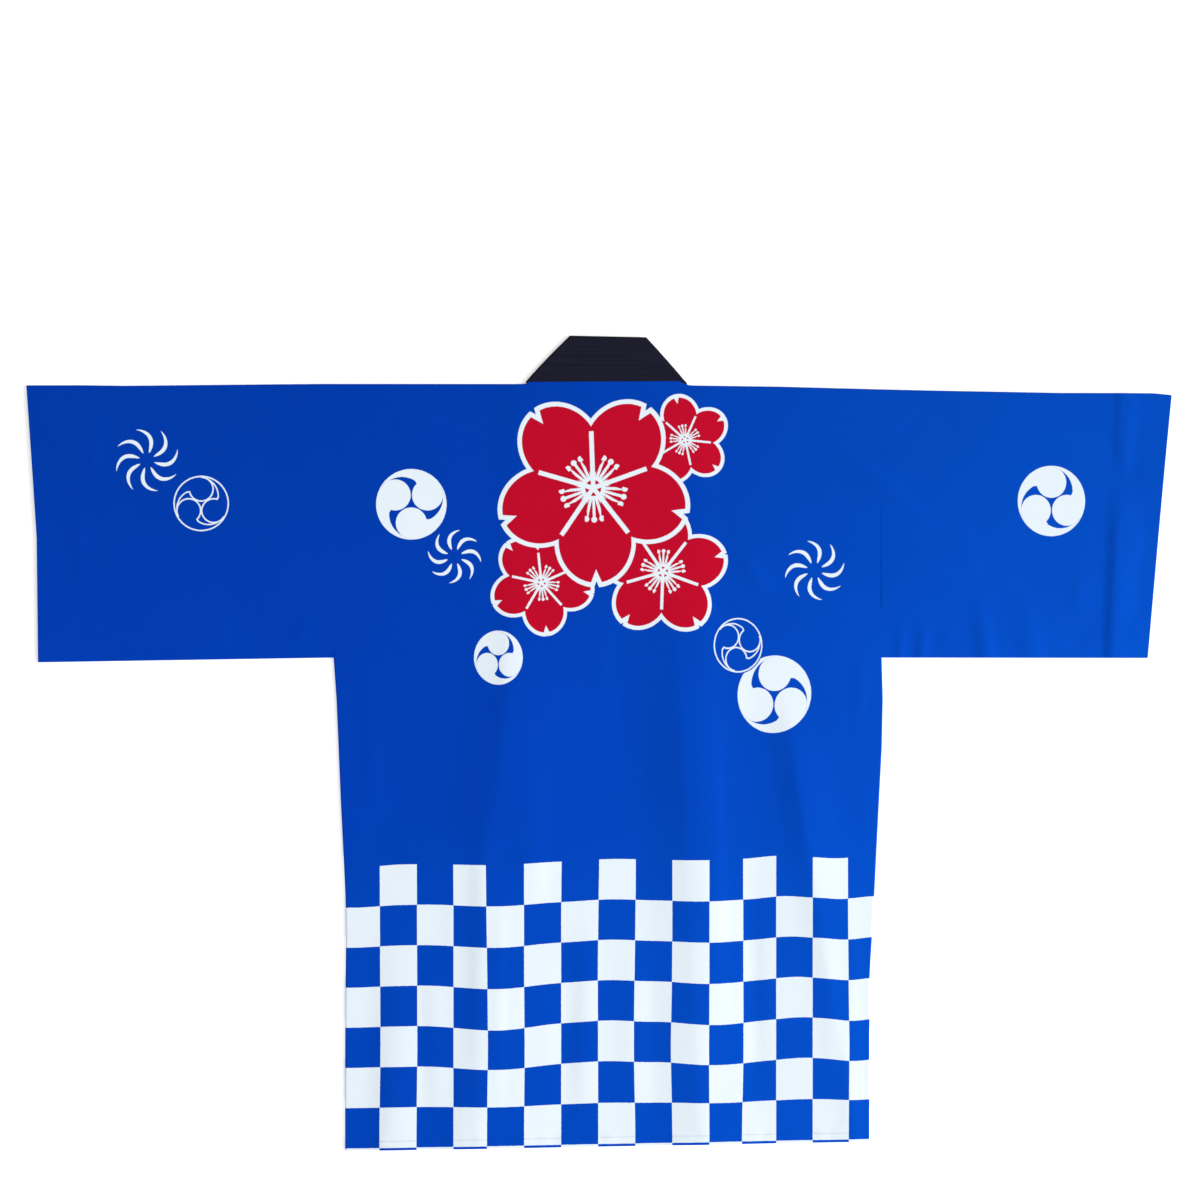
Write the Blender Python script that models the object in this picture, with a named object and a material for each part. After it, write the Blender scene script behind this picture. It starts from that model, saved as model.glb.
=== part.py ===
"""Happi coat, laid flat on its front with its back up.

Six pieces of cloth: back, two fronts, two sleeves and the collar band. The tables are in
millimetres. x runs right from the centre line, y runs up towards the collar from the shoulder
line, and "drop" is the distance below that line. One empty sets the coat's box on the origin.
"""

import math

import bmesh
import bpy

MM = 0.001

# Cloth
CLOTH = 1.2  # wall of a single layer
BAND_CLOTH = 1.8  # wall of the doubled collar band
GAP = 0.3  # between pieces at a seam, and between layers that lie on each other

# Body
HALF_WIDTH = 306.5  # half of the back's cut width, at the armholes
SLEEVE_DROP = 305.0  # shoulder line to underarm
HEM_LEFT = 859.0  # shoulder line to hem at the left side
HEM_RIGHT = 848.0
FRONT_SHORTER = 2.0  # the front hems stop this far above the back hem
COLUMN_STEP = 12.0
NECK_RISE = 4.0  # the back neckline, above the shoulder line
NECK_FLAT = {"left": 88.0, "right": 77.0}  # half widths of its level part
NECK_END = 93.0  # where it comes down to the shoulders

# Half widths of the body down its sides
SIDE_COLUMNS = ("drop", "left", "right")
SIDES = (
    (0, 307.0, 306.0),
    (60, 307.0, 306.0),
    (120, 307.0, 306.0),
    (180, 307.0, 306.0),
    (240, 307.0, 306.0),
    (305, 307.0, 306.0),
    (353, 304.0, 306.5),
    (409, 302.0, 305.5),
    (465, 300.0, 303.0),
    (527, 296.0, 300.0),
    (577, 293.5, 297.5),
    (622, 293.0, 295.0),
    (667, 293.5, 292.5),
    (749, 294.0, 292.0),
    (804, 294.0, 292.0),
    (859, 294.0, 292.0),
)

# The shoulder edge from cuff to cuff
SHOULDER_COLUMNS = ("x", "y")
SHOULDER = (
    (-660, -2.0),
    (-307, 0.0),
    (91, -0.3),
    (215, -2.8),
    (306, -5.0),
    (440, -7.5),
    (560, -9.5),
    (640, -12.5),
)

# Sleeves: each cuff from its top corner (share 0) to its bottom corner (share 1)
CUFF_COLUMNS = ("share", "left", "right")
CUFFS = (
    (0.0, 651.0, 631.0),
    (0.28, 645.0, 623.5),
    (0.55, 639.5, 616.0),
    (1.0, 638.0, 604.0),
)
CUFF_BOTTOM = {"left": 310.0, "right": 303.0}  # drop of each cuff's bottom corner
SLEEVE_SECTIONS = 36
SLEEVE_WALL_STEPS = 12
UNDER_WALL_STEPS = 3
EDGE_TURN_STEPS = 4  # round the folded top edge and the seamed bottom edge

# Collar: one straight band, folded at 45 degrees at each corner of the neck
BAND_WIDTH = 50.0
BAND_CORNER = 90.0  # x of the seam edge where the band turns down
BAND_LEAN = 5.5  # how far the bands lean together between shoulder and hem
BAND_SEAM = NECK_RISE + GAP  # height of its seam edge behind the neck
BAND_LOWER = BAND_CLOTH / 2  # middle of its wall on the fronts
BAND_UPPER = BAND_CLOTH + GAP + BAND_CLOTH / 2  # and behind the neck, on its own ends
BAND_HALF_TURN = (BAND_UPPER - BAND_LOWER) / 2 * math.pi / 2  # cloth in half of a fold's turn
BAND_STEPS_ACROSS = 5
NECK_STEPS = 6
TURN_STEPS = 6
FRONT_STEPS = 15

# Ridges that run down the body and lean out. They start at nothing at the drop "start", are
# whole at "full", and change to their height at the hem over RIDGE_SETTLE. Rows that share a
# crest add up to one with a steep top and a wide foot
RIDGE_COLUMNS = (
    "x_start", "x_hem", "start", "full", "height", "hem_height",
    "left_width", "right_width", "left_keen", "right_keen",
)
BODY_RIDGES = (
    (-106, -166, 200, 400, 2.8, 0.4, 54, 118, 0.8, 0.9),
    (-110, -150, 200, 420, 1.4, 1.2, 150, 170, 0.0, 1.0),
    (-136, -142, 400, 520, 1.4, 1.5, 52, 86, 0.3, 1.0),
    (74, 104, 180, 420, 3.5, 2.2, 52, 88, 0.8, 0.0),
    (198, 284, 330, 450, 2.1, 1.4, 29, 62, 0.8, 0.7),
    (198, 284, 330, 450, 1.3, 0.8, 64, 50, 1.0, 0.3),
    (-232, -240, 520, 800, 1.4, 1.4, 34, 44, 0.0, 0.0),
)
RIDGE_LEAN = 1.2  # above 1, they lean more and more on the way down
RIDGE_SETTLE = 170.0
SEAM_FLAT = 30.0  # the ridges fade out this near to the side seams

# Gathers that run up from the right sleeve's bottom edge
GATHER_COLUMNS = ("x", "lean", "reach", "height", "width")
GATHERS = (
    (328, 0.03, 52, 0.9, 9),
    (352, 0.06, 50, 1.2, 11),
    (425, -0.14, 84, 1.5, 16),
    (476, -0.12, 80, 1.1, 22),
)

# Ridges along the deep hem of the right cuff: x and drop at either end, height, widths
CUFF_RIDGE_COLUMNS = ("x_from", "drop_from", "x_to", "drop_to", "height", "left", "right")
CUFF_RIDGES = (
    (576, -14, 575, 100, 1.2, 10, 26),
    (572, 104, 561, 420, 1.9, 12, 32),
)

BLUE = (0.0006, 0.0530, 0.4740)
BLACK = (0.0130, 0.0130, 0.0242)


def read(rows, columns, at, wanted):
    """A value between the rows of a table, by the table's first column."""
    column = columns.index(wanted)
    for low, high in zip(rows, rows[1:]):
        if at <= high[0]:
            break
    share = min(max((at - low[0]) / (high[0] - low[0]), 0.0), 1.0)
    return low[column] + share * (high[column] - low[column])


def ease(low, high, value):
    share = min(max((value - low) / (high - low), 0.0), 1.0)
    return share * share * (3 - 2 * share)


def ridge(distance, left_width, right_width, left_keen=0.0, right_keen=0.0):
    """A ridge, 1 on its crest and 0 past its width on either side.

    A flank is round where its keenness is 0 and straighter towards 1.
    """
    share = min(-distance / left_width if distance < 0 else distance / right_width, 1.0)
    keen = left_keen if distance < 0 else right_keen
    rounded = 0.5 + 0.5 * math.cos(math.pi * share)
    return rounded + keen * ((1 - share) ** 1.6 - rounded)


def shoulder(x):
    return read(SHOULDER, SHOULDER_COLUMNS, x, "y")


def hem(x):
    """Drop of the back hem at x."""
    share = (x + HALF_WIDTH) / (2 * HALF_WIDTH)
    return HEM_LEFT + share * (HEM_RIGHT - HEM_LEFT)


def body_lift(x, drop):
    """Height of the body's ridges above its resting level."""
    lift = 0.0
    for row in BODY_RIDGES:
        fold = dict(zip(RIDGE_COLUMNS, row))
        share = max(drop - fold["start"], 0.0) / (HEM_LEFT - fold["start"])
        crest = fold["x_start"] + share**RIDGE_LEAN * (fold["x_hem"] - fold["x_start"])
        grown = ease(fold["start"], fold["full"], drop)
        settled = ease(fold["full"], fold["full"] + RIDGE_SETTLE, drop)
        height = fold["height"] + settled * (fold["hem_height"] - fold["height"])
        flanks = [fold[name] for name in RIDGE_COLUMNS[-4:]]
        lift += grown * height * ridge(x - crest, *flanks)
    seam = read(SIDES, SIDE_COLUMNS, drop, "left" if x < 0 else "right")
    return lift * (1 - ease(seam - SEAM_FLAT, seam, abs(x)))


def sleeve_lift(side, x, drop):
    """Height of a sleeve's gathers and cuff ridges. The left sleeve lies smooth."""
    if side == "left":
        return 0.0
    lift = 0.0
    for row in GATHERS:
        fold = dict(zip(GATHER_COLUMNS, row))
        above = SLEEVE_DROP - drop
        crest = fold["x"] + fold["lean"] * above
        faded = 1 - ease(0, fold["reach"], above)
        lift = max(lift, faded * fold["height"] * ridge(x - crest, fold["width"], fold["width"]))
    for row in CUFF_RIDGES:
        fold = dict(zip(CUFF_RIDGE_COLUMNS, row))
        share = (drop - fold["drop_from"]) / (fold["drop_to"] - fold["drop_from"])
        faded = ease(0, 0.22, share) * (1 - ease(0.72, 1.05, share))
        crest = fold["x_from"] + share * (fold["x_to"] - fold["x_from"])
        lift += faded * fold["height"] * ridge(x - crest, fold["left"], fold["right"])
    return lift


def material(name, colour):
    made = bpy.data.materials.new(name)
    made.use_nodes = True
    shader = made.node_tree.nodes["Principled BSDF"]
    shader.inputs["Base Color"].default_value = (*colour, 1)
    shader.inputs["Roughness"].default_value = 0.85
    shader.inputs["Metallic"].default_value = 0
    return made


def finish(name, bm, coat, cloth):
    """Turns a bmesh in millimetres into a named piece of the coat."""
    bmesh.ops.scale(bm, verts=bm.verts[:], vec=(MM, MM, MM))
    bmesh.ops.recalc_face_normals(bm, faces=bm.faces[:])
    mesh = bpy.data.meshes.new(name)
    bm.to_mesh(mesh)
    bm.free()
    mesh.materials.append(cloth)
    mesh.shade_smooth()
    mesh.set_sharp_from_angle(angle=math.radians(40))
    piece = bpy.data.objects.new(name, mesh)
    bpy.context.collection.objects.link(piece)
    piece.parent = coat
    return piece


def slab(name, coat, cloth, columns, rows, place):
    """A wall of cloth: a grid of stations, given a second side and put in place.

    place(column, row, upper) gives the point of one side of the wall at two stations.
    """
    bm = bmesh.new()
    across, down = len(columns) - 1, len(rows) - 1
    bmesh.ops.create_grid(bm, x_segments=across, y_segments=down, size=0.5)
    made = bmesh.ops.extrude_face_region(bm, geom=bm.faces[:])
    upper = {v for v in made["geom"] if isinstance(v, bmesh.types.BMVert)}
    for v in bm.verts:
        column = columns[round((v.co.x + 0.5) * across)]
        row = rows[round((v.co.y + 0.5) * down)]
        v.co = place(column, row, v in upper)
    return finish(name, bm, coat, cloth)


def tube(name, coat, cloth, sections, ring, place):
    """A closed ring of cloth, open at both ends, with a true inner side.

    place(section, ring_point, inner) gives the point of one side of the wall.
    """
    bm = bmesh.new()
    loop = bmesh.ops.create_circle(bm, segments=len(ring), radius=1)["verts"]
    edges = list({e for v in loop for e in v.link_edges})
    for _ in sections[1:]:
        grown = bmesh.ops.extrude_edge_only(bm, edges=edges)["geom"]
        verts = [g for g in grown if isinstance(g, bmesh.types.BMVert)]
        edges = [g for g in grown if isinstance(g, bmesh.types.BMEdge)]
        bmesh.ops.translate(bm, verts=verts, vec=(0, 0, 1))
    made = bmesh.ops.extrude_face_region(bm, geom=bm.faces[:])
    inner = {v for v in made["geom"] if isinstance(v, bmesh.types.BMVert)}
    for v in bm.verts:
        turn = math.atan2(v.co.y, v.co.x) / math.tau * len(ring)
        v.co = place(sections[round(v.co.z)], ring[round(turn) % len(ring)], v in inner)
    return finish(name, bm, coat, cloth)


def evenly(low, high, steps):
    return [low + (high - low) * i / steps for i in range(steps + 1)]


def body_point(x, drop):
    """Where a point of the flat cut lies: x stretches to the sides, drop to shoulder and hem."""
    side = "left" if x < 0 else "right"
    moved = x * read(SIDES, SIDE_COLUMNS, drop, side) / HALF_WIDTH
    top = shoulder(moved)
    return moved, top - drop / HEM_LEFT * (hem(moved) + top)


def back(coat, cloth):
    """The one-piece back. It lies on the fronts, and higher where it crosses the collar bands."""
    steps = 2 * math.ceil(HALF_WIDTH / COLUMN_STEP)
    corners = [-NECK_END, -NECK_FLAT["left"], NECK_FLAT["right"], NECK_END]
    columns = [
        x
        for x in evenly(-HALF_WIDTH, HALF_WIDTH, steps)
        if min(abs(x - corner) for corner in corners) > COLUMN_STEP / 3
    ]
    columns = sorted(columns + corners)
    rows = [row[0] for row in SIDES]

    def place(x, drop, upper):
        at_x, at_y = body_point(x, drop)
        level = NECK_FLAT["left" if x < 0 else "right"]
        neck = (NECK_RISE - shoulder(at_x)) * (1 - ease(level, NECK_END, abs(x)))
        at_y += neck * (1 - ease(0, rows[1], drop))
        over_band = 1 - ease(BAND_CORNER + 12, BAND_CORNER + 42, abs(x))
        rest = CLOTH + GAP + over_band * (BAND_CLOTH - CLOTH)
        under = rest + body_lift(at_x, drop)
        return at_x, at_y, under + CLOTH * upper

    return slab("back", coat, cloth, columns, rows, place)


def front(coat, cloth, side):
    """A front panel, from the collar band out to the side seam, flat on the ground."""
    sign = -1 if side == "left" else 1
    rows = [row[0] for row in SIDES]

    def place(share, drop, upper):
        inner = BAND_CORNER + GAP - BAND_LEAN * drop / HEM_LEFT
        outer = read(SIDES, SIDE_COLUMNS, drop, side)
        x = sign * (inner + share * (outer - inner))
        top = shoulder(x)
        y = top + drop / HEM_LEFT * (FRONT_SHORTER - hem(x) - top)
        return x, y, CLOTH * upper

    return slab("front_" + side, coat, cloth, evenly(0, 1, 8), rows, place)


def sleeve(coat, cloth, side):
    """One sleeve: a flattened tube, folded along its top and seamed along its bottom."""
    sign = -1 if side == "left" else 1
    armhole = read(SIDES, SIDE_COLUMNS, 0, side) + GAP
    ring = [("over", share) for share in evenly(0, 1, SLEEVE_WALL_STEPS)]
    turn = [math.pi / 2 - math.pi * i / EDGE_TURN_STEPS for i in range(1, EDGE_TURN_STEPS)]
    ring += [("bottom", angle) for angle in turn]
    ring += [("under", share) for share in evenly(1, 0, UNDER_WALL_STEPS)]
    ring += [("top", angle) for angle in reversed(turn)]
    outer_radius = CLOTH + GAP / 2

    def place(along, ring_point, inner):
        part, value = ring_point
        share = {"over": value, "under": value, "bottom": 1.0, "top": 0.0}[part]
        cuff = read(CUFFS, CUFF_COLUMNS, share, side)
        x = armhole + along * (cuff - armhole)
        top = shoulder(sign * x)
        bottom = -SLEEVE_DROP - along * (CUFF_BOTTOM[side] - SLEEVE_DROP)
        y = top - outer_radius + share * (bottom - top + 2 * outer_radius)
        inset = CLOTH if inner else 0.0
        lift = sleeve_lift(side, x, -y)
        low = inset
        high = 2 * CLOTH + GAP + lift - inset
        if part == "over":
            return sign * x, y, high
        if part == "under":
            return sign * x, y, low
        out = (outer_radius - inset) * math.cos(value)
        y += out if part == "top" else -out
        return sign * x, y, (high + low) / 2 + (high - low) / 2 * math.sin(value)

    return tube("sleeve_" + side, coat, cloth, evenly(0, 1, SLEEVE_SECTIONS), ring, place)


def band_stations():
    """Stations along the band: side, and distance from the centre back on its two edges.

    They stand square to the band at the centre back and at the hems, and run along the fold
    line through each corner.
    """
    free_corner = BAND_CORNER - BAND_WIDTH
    turn = BAND_HALF_TURN * math.sqrt(2)
    ways = {}
    for sign in (-1, 1):
        neck = [
            (share * (BAND_CORNER - turn), share * (free_corner - turn))
            for share in evenly(0, 1, NECK_STEPS)[:-1]
        ]
        corner = [
            (BAND_CORNER + offset, free_corner + offset)
            for offset in evenly(-turn, turn, TURN_STEPS)
        ]
        seam_end, free_end = (
            BAND_CORNER + BAND_SEAM + hem(sign * (x - BAND_LEAN))
            for x in (BAND_CORNER, free_corner)
        )
        down = [
            (
                BAND_CORNER + turn + share * (seam_end - BAND_CORNER - turn),
                free_corner + turn + share * (free_end - free_corner - turn),
            )
            for share in evenly(0, 1, FRONT_STEPS)[1:]
        ]
        ways[sign] = [(sign, *station) for station in neck + corner + down]
    return ways[-1][:0:-1] + ways[1]


def collar(coat, cloth):
    """The collar band: level behind the neck, folded under at both corners, then down the fronts."""
    radius = (BAND_UPPER - BAND_LOWER) / 2
    middle = (BAND_UPPER + BAND_LOWER) / 2

    def place(station, share, outer):
        sign, seam_edge, free_edge = station
        u = seam_edge + share * (free_edge - seam_edge)
        v = share * BAND_WIDTH
        along_fold = (u - BAND_CORNER - v) / math.sqrt(2)
        past_fold = (u - BAND_CORNER + v) / math.sqrt(2)
        angle = (past_fold + BAND_HALF_TURN) / radius
        angle = min(max(angle, 0.0), math.pi)
        reach = radius + (BAND_CLOTH / 2 if outer else -BAND_CLOTH / 2)
        beyond = max(abs(past_fold), BAND_HALF_TURN)
        from_fold = -beyond + reach * math.sin(angle)
        x = BAND_CORNER + (from_fold + along_fold) / math.sqrt(2)
        y = BAND_SEAM + (from_fold - along_fold) / math.sqrt(2)
        x -= BAND_LEAN * max(-y, 0.0) / HEM_LEFT
        return sign * x, y, middle + reach * math.cos(angle)

    rows = evenly(0, 1, BAND_STEPS_ACROSS)
    return slab("collar", coat, cloth, band_stations(), rows, place)


def build():
    for old in list(bpy.data.objects):
        bpy.data.objects.remove(old)
    blue = material("blue_cotton", BLUE)
    black = material("black_cotton", BLACK)

    coat = bpy.data.objects.new("coat", None)
    bpy.context.collection.objects.link(coat)

    back(coat, blue)
    for side in ("left", "right"):
        front(coat, blue, side)
        sleeve(coat, blue, side)
    collar(coat, black)

    points = [v.co for piece in coat.children for v in piece.data.vertices]
    for axis in (0, 1):
        places = [point[axis] for point in points]
        coat.location[axis] = -(min(places) + max(places)) / 2
    bpy.context.view_layer.update()


build()
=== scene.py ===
import math

import bmesh
import bpy
from mathutils import Matrix, Vector


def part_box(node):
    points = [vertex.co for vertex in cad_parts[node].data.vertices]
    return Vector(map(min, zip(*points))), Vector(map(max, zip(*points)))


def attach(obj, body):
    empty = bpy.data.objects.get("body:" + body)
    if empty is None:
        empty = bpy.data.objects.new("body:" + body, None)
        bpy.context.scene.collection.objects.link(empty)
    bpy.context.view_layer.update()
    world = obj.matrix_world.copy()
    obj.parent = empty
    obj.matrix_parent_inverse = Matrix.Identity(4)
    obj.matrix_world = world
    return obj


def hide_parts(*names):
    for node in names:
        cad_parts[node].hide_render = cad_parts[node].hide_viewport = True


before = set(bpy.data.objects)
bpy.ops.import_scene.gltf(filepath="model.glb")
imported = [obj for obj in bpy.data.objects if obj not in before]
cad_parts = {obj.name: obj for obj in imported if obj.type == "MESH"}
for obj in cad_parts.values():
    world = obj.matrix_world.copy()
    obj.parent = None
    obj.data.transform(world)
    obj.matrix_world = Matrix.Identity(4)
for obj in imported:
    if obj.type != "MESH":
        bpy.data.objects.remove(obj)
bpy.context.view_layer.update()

# Happi coat, laid on its front. Sizes are millimetres in the coat's own frame:
# x to the right from the centre line, y up from the shoulder line, drop = -y.
mm = 0.001
signOf = {"left": -1, "right": 1}
columnOf = {"left": 1, "right": 2}  # in a table that has a value for either side

wall = 0.55  # one layer of cotton
layer = 1.2  # a doubled hem, as thick as the solid's wall
foldRadius = 1.35  # side seams, shoulder folds and sleeve edges turn on this
backLevel = 2.7  # top of the back above the floor
curlSteps = (0.25, 0.5, 0.75, 1.0)  # rows of an edge that turns down by a quarter

# The coat's outline, within 4 mm of the solids
body = {
    "halfWidth": 306.5,
    "underarm": 306.0,
    "hemLeft": 859.0,
    "hemRight": 848.0,
    "hem": 13,
    "neckRise": 4.0,
    "neckFlat": {"left": 88.0, "right": 77.0},  # the neck's edge is level up to here
    "neckEnd": 93.0,
    "neckReach": 42,  # and its rise is gone this far down
    "overBand": 0.6,  # the back lies this much higher on the collar band
    "offBand": (102, 132),  # and comes down from it between these
    "seamStart": (301, 308),  # drop where the side seam begins to curl
    "shoulderCurl": (92, 99),  # the shoulder's fold curls from here outwards
    "seamCloth": 0.7,  # cloth that the side seam's curl uses
    "step": 4.15,
    "hemStep": 2.5,
}
centreLine = (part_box("collar")[0].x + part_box("collar")[1].x) / 2 / mm
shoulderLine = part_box("back")[1].y / mm - body["neckRise"]
sides = (  # drop, left, right
    (0, 307.0, 306.0), (305, 307.0, 307.2), (353, 303.6, 308.5), (409, 301.2, 307.4),
    (465, 298.9, 304.5), (527, 295.8, 301.4), (577, 293.5, 299.0), (622, 293.0, 296.5),
    (667, 293.5, 294.0), (749, 294.0, 293.5), (859, 294.0, 293.5),
)
shoulderEdge = (  # x, y
    (-660, -0.9), (-590, -0.8), (-540, -1.4), (-410, -0.1), (-320, 0.7), (-98, 0.6),
    (91, -1.0), (193, -2.4), (306, -5.4), (372, -6.9), (507, -9.4), (570, -9.5),
    (612, -9.8), (640, -12.5),
)
cuffs = (  # share of the way down, left, right
    (0.0, 651.0, 632.0), (0.28, 645.0, 624.2), (0.55, 639.5, 617.0), (1.0, 638.0, 605.4),
)
cuffBottom = {"left": 311.3, "right": 306.4}
band = {
    "width": 50.0,
    "corner": 90.0,  # its seam edge turns down this far from the centre line
    "lean": 5.5,  # either half leans in by this on the way to the hem
    "seam": 4.3,  # height of the seam edge behind the neck
    "lower": 0.9,  # its middle above the floor, down the fronts
    "upper": 3.0,  # and behind the neck
    "half": 0.9,  # half its thickness
    "wall": 0.4,
    "hem": 9,
    "hemThick": 0.86,
    "press": 0.16,  # its edges are pressed by this along their rows of stitches
    "pressIn": 3.2,
    "pressWide": 1.6,
    "wave": 0.12,
    "waveLong": 37,
}
# The collar lies a little askew behind the neck. Height, then how far its left and its right
# end move across, and up
neckSkew = (
    (0.5, 0.0, 0.0, 0.0, 0.0), (5, -2.0, -3.2, -1.9, -0.6), (54, -5.0, 6.4, 1.5, -2.5),
)

# Folds
# Long ridges: x where they start, x at the hem, drop at the start, drop where they are whole,
# height, height at the hem, width to the left, width to the right, and how keen either flank
# is, from round at 0 to hollow at 1. Two that share a crest add up
longRidges = (
    (-106, -166, 200, 400, 2.8, 0.4, 54, 118, 0.8, 0.9),
    (-110, -150, 200, 420, 1.4, 1.2, 150, 170, 0.0, 1.0),
    (-136, -142, 400, 520, 1.4, 1.5, 52, 86, 0.3, 1.0),
    (74, 104, 180, 420, 3.5, 2.2, 52, 88, 0.8, 0.0),
    (198, 284, 330, 450, 2.1, 1.0, 29, 62, 0.8, 0.7),
    (198, 284, 330, 450, 1.3, 0.6, 64, 50, 1.0, 0.3),
    (-232, -240, 520, 800, 1.4, 1.4, 34, 44, 0.0, 0.0),
)
ridgeLean = 1.2  # above 1, they lean out more and more on the way down
ridgeSettle = 170.0  # they change to their height at the hem over this drop
ridgeEnd = (30, 2)  # they fade out between these distances from the side seam
keenPower = 1.6  # how hollow a keen flank is
gathers = (  # x, lean, reach, height, width
    (328, 0.03, 52, 0.9, 9),
    (352, 0.06, 50, 1.2, 11),
    (425, -0.14, 84, 1.5, 16),
    (476, -0.12, 80, 1.1, 22),
)
cuffRidges = (  # x and drop at either end, height, width to the left, width to the right
    (576, -14, 575, 100, 1.2, 10, 26),
    (572, 104, 561, 420, 1.9, 12, 32),
)
cuffRidgeFade = (0, 0.22, 0.72, 1.05)  # shares of its way: start, whole, fading, end
neckRidge = {"height": 0.55, "at": 1.6, "widths": (4.2, 3.0), "ends": (80, 90)}
creaseFade = (-0.05, 0.35, 0.55, 1.05)  # as for the cuff's ridges
# Small creases: from x, y to x, y, then height (a trough is below nothing), width to the left
# and to the right of the way that they run
creases = (
    # across the back
    (12, -262, 17, -420, -0.55, 15, 22),
    (117, -330, 127, -780, 0.90, 16, 44),
    (-80, -380, -84, -640, 0.60, 22, 30),
    (-156, -470, -160, -820, -0.60, 16, 22),
    (150, -192, 184, -238, 0.70, 12, 16),
    (112, -236, 158, -272, -0.45, 14, 14),
    (232, -50, 384, -170, 0.80, 15, 22),
    (288, -306, 282, -384, 0.60, 9, 16),
    (258, -330, 250, -430, 0.25, 18, 26),
    (-268, -320, -260, -500, 0.40, 18, 16),
    (28, -600, 32, -860, 0.60, 22, 28),
    (-119, -540, -124, -860, 0.60, 12, 20),
    (-22, -560, -26, -860, 0.45, 20, 18),
    (-46, -620, -52, -870, -0.55, 24, 20),
    (160, -540, 168, -830, -0.70, 16, 20),
    (262, -600, 264, -860, -0.50, 16, 18),
    (-196, -620, -190, -870, 0.60, 20, 18),
    (-250, -60, -170, -24, 0.30, 18, 16),
    # left sleeve
    (-592, -130, -589, -240, 0.35, 12, 16),
    (-575, -36, -580, -124, 0.28, 12, 14),
    (-330, -252, -356, -306, 0.40, 16, 14),
    (-430, -240, -436, -306, 0.28, 16, 14),
    (-316, -96, -400, -40, 0.28, 20, 20),
    # right sleeve
    (318, -58, 360, -38, -0.35, 12, 14),
    (416, -232, 392, -168, 0.35, 16, 20),
    (378, -306, 385, -254, 0.30, 12, 14),
    (524, -262, 533, -200, 0.55, 16, 22),
    (505, -300, 545, -276, -0.40, 10, 12),
    (593, -146, 590, -212, 0.50, 12, 16),
    (596, -256, 590, -330, 0.70, 12, 16),
    (588, -36, 592, -126, -0.30, 14, 14),
)
frontCreases = (  # for the right front; the left one has them mirrored and a little lower
    (140, -60, 172, -220, 0.50, 12, 9),
    (240, -330, 214, -520, 0.60, 10, 14),
    (120, -420, 128, -760, 0.55, 12, 16),
    (196, -560, 205, -840, 0.65, 14, 10),
    (270, -500, 262, -790, 0.40, 9, 12),
)
softness = {  # slow swell of cloth that lies loose, and how it dies down towards the edges
    "size": 0.16,
    "long": 118.0,
    "short": 71.0,
    "belowShoulder": (2, 14),
    "nearSeam": (0.93, 0.995),
    "seamDrop": (250, 320),
}
pucker = {"height": 0.10, "at": 10, "widths": (10, 9)}  # along a row of stitches


def readTable(rows, at, column=1):
    for low, high in zip(rows, rows[1:]):
        if at <= high[0]:
            break
    share = min(max((at - low[0]) / (high[0] - low[0]), 0.0), 1.0)
    return low[column] + share * (high[column] - low[column])


def ease(low, high, value):
    share = min(max((value - low) / (high - low), 0.0), 1.0)
    return share * share * (3 - 2 * share)


def ridge(distance, leftWidth, rightWidth, leftKeen=0.0, rightKeen=0.0):
    share = min(-distance / leftWidth if distance < 0 else distance / rightWidth, 1.0)
    keen = leftKeen if distance < 0 else rightKeen
    rounded = 0.5 + 0.5 * math.cos(math.pi * share)
    return rounded + keen * ((1 - share) ** keenPower - rounded)


def spread(low, high, step):
    count = max(1, math.ceil(abs(high - low) / step))
    return [low + (high - low) * i / count for i in range(count + 1)]


def shoulder(x):
    return readTable(shoulderEdge, x)


def hemDrop(x):
    share = (x + body["halfWidth"]) / (2 * body["halfWidth"])
    return body["hemLeft"] + share * (body["hemRight"] - body["hemLeft"])


def sideOf(x):
    return "left" if x < 0 else "right"


def halfWidth(drop, side):
    return readTable(sides, drop, columnOf[side])


def cuffAt(side, share):
    return readTable(cuffs, share, columnOf[side])


def longLift(x, drop):
    lift = 0.0
    for xStart, xHem, start, full, height, hemHeight, *flanks in longRidges:
        share = max(drop - start, 0.0) / (body["hemLeft"] - start)
        crest = xStart + (xHem - xStart) * share**ridgeLean
        tall = height + ease(full, full + ridgeSettle, drop) * (hemHeight - height)
        lift += ease(start, full, drop) * tall * ridge(x - crest, *flanks)
    reach = halfWidth(drop, sideOf(x))
    return lift * (1 - ease(reach - ridgeEnd[0], reach - ridgeEnd[1], abs(x)))


def fadedEnds(fade, share):
    start, whole, fading, end = fade
    return ease(start, whole, share) * (1 - ease(fading, end, share))


def creaseLift(x, y, creases):
    lift = 0.0
    for x0, y0, x1, y1, height, leftWidth, rightWidth in creases:
        alongX, alongY = x1 - x0, y1 - y0
        length = math.hypot(alongX, alongY)
        share = ((x - x0) * alongX + (y - y0) * alongY) / length**2
        if creaseFade[0] < share < creaseFade[-1]:
            across = ((x - x0) * alongY - (y - y0) * alongX) / length
            if -leftWidth < across < rightWidth:
                fade = fadedEnds(creaseFade, share)
                lift += fade * height * ridge(across, leftWidth, rightWidth)
    return lift


def swell(x, y, phase=0.0):
    slow = math.sin(x / softness["long"] * 2.1 + y / 210 + phase)
    quick = math.sin(x / softness["short"] - y / 160 + 1.3 + phase) * math.sin(y / 95 + phase)
    return softness["size"] * (slow + quick + 1.6) * 0.5


def hemPucker(x, fromEdge):
    wave = math.sin(x / 4.1) + math.sin(x / 6.7 + 2.0) + math.sin(x / 2.9 + 0.7)
    return pucker["height"] * wave * ridge(fromEdge - pucker["at"], *pucker["widths"])


def looseLift(x, y):
    # what the upper cloth does besides its long ridges, from cuff to cuff
    free = ease(*softness["belowShoulder"], shoulder(x) - y)
    return free * (swell(x, y) + creaseLift(x, y, creases))


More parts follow.
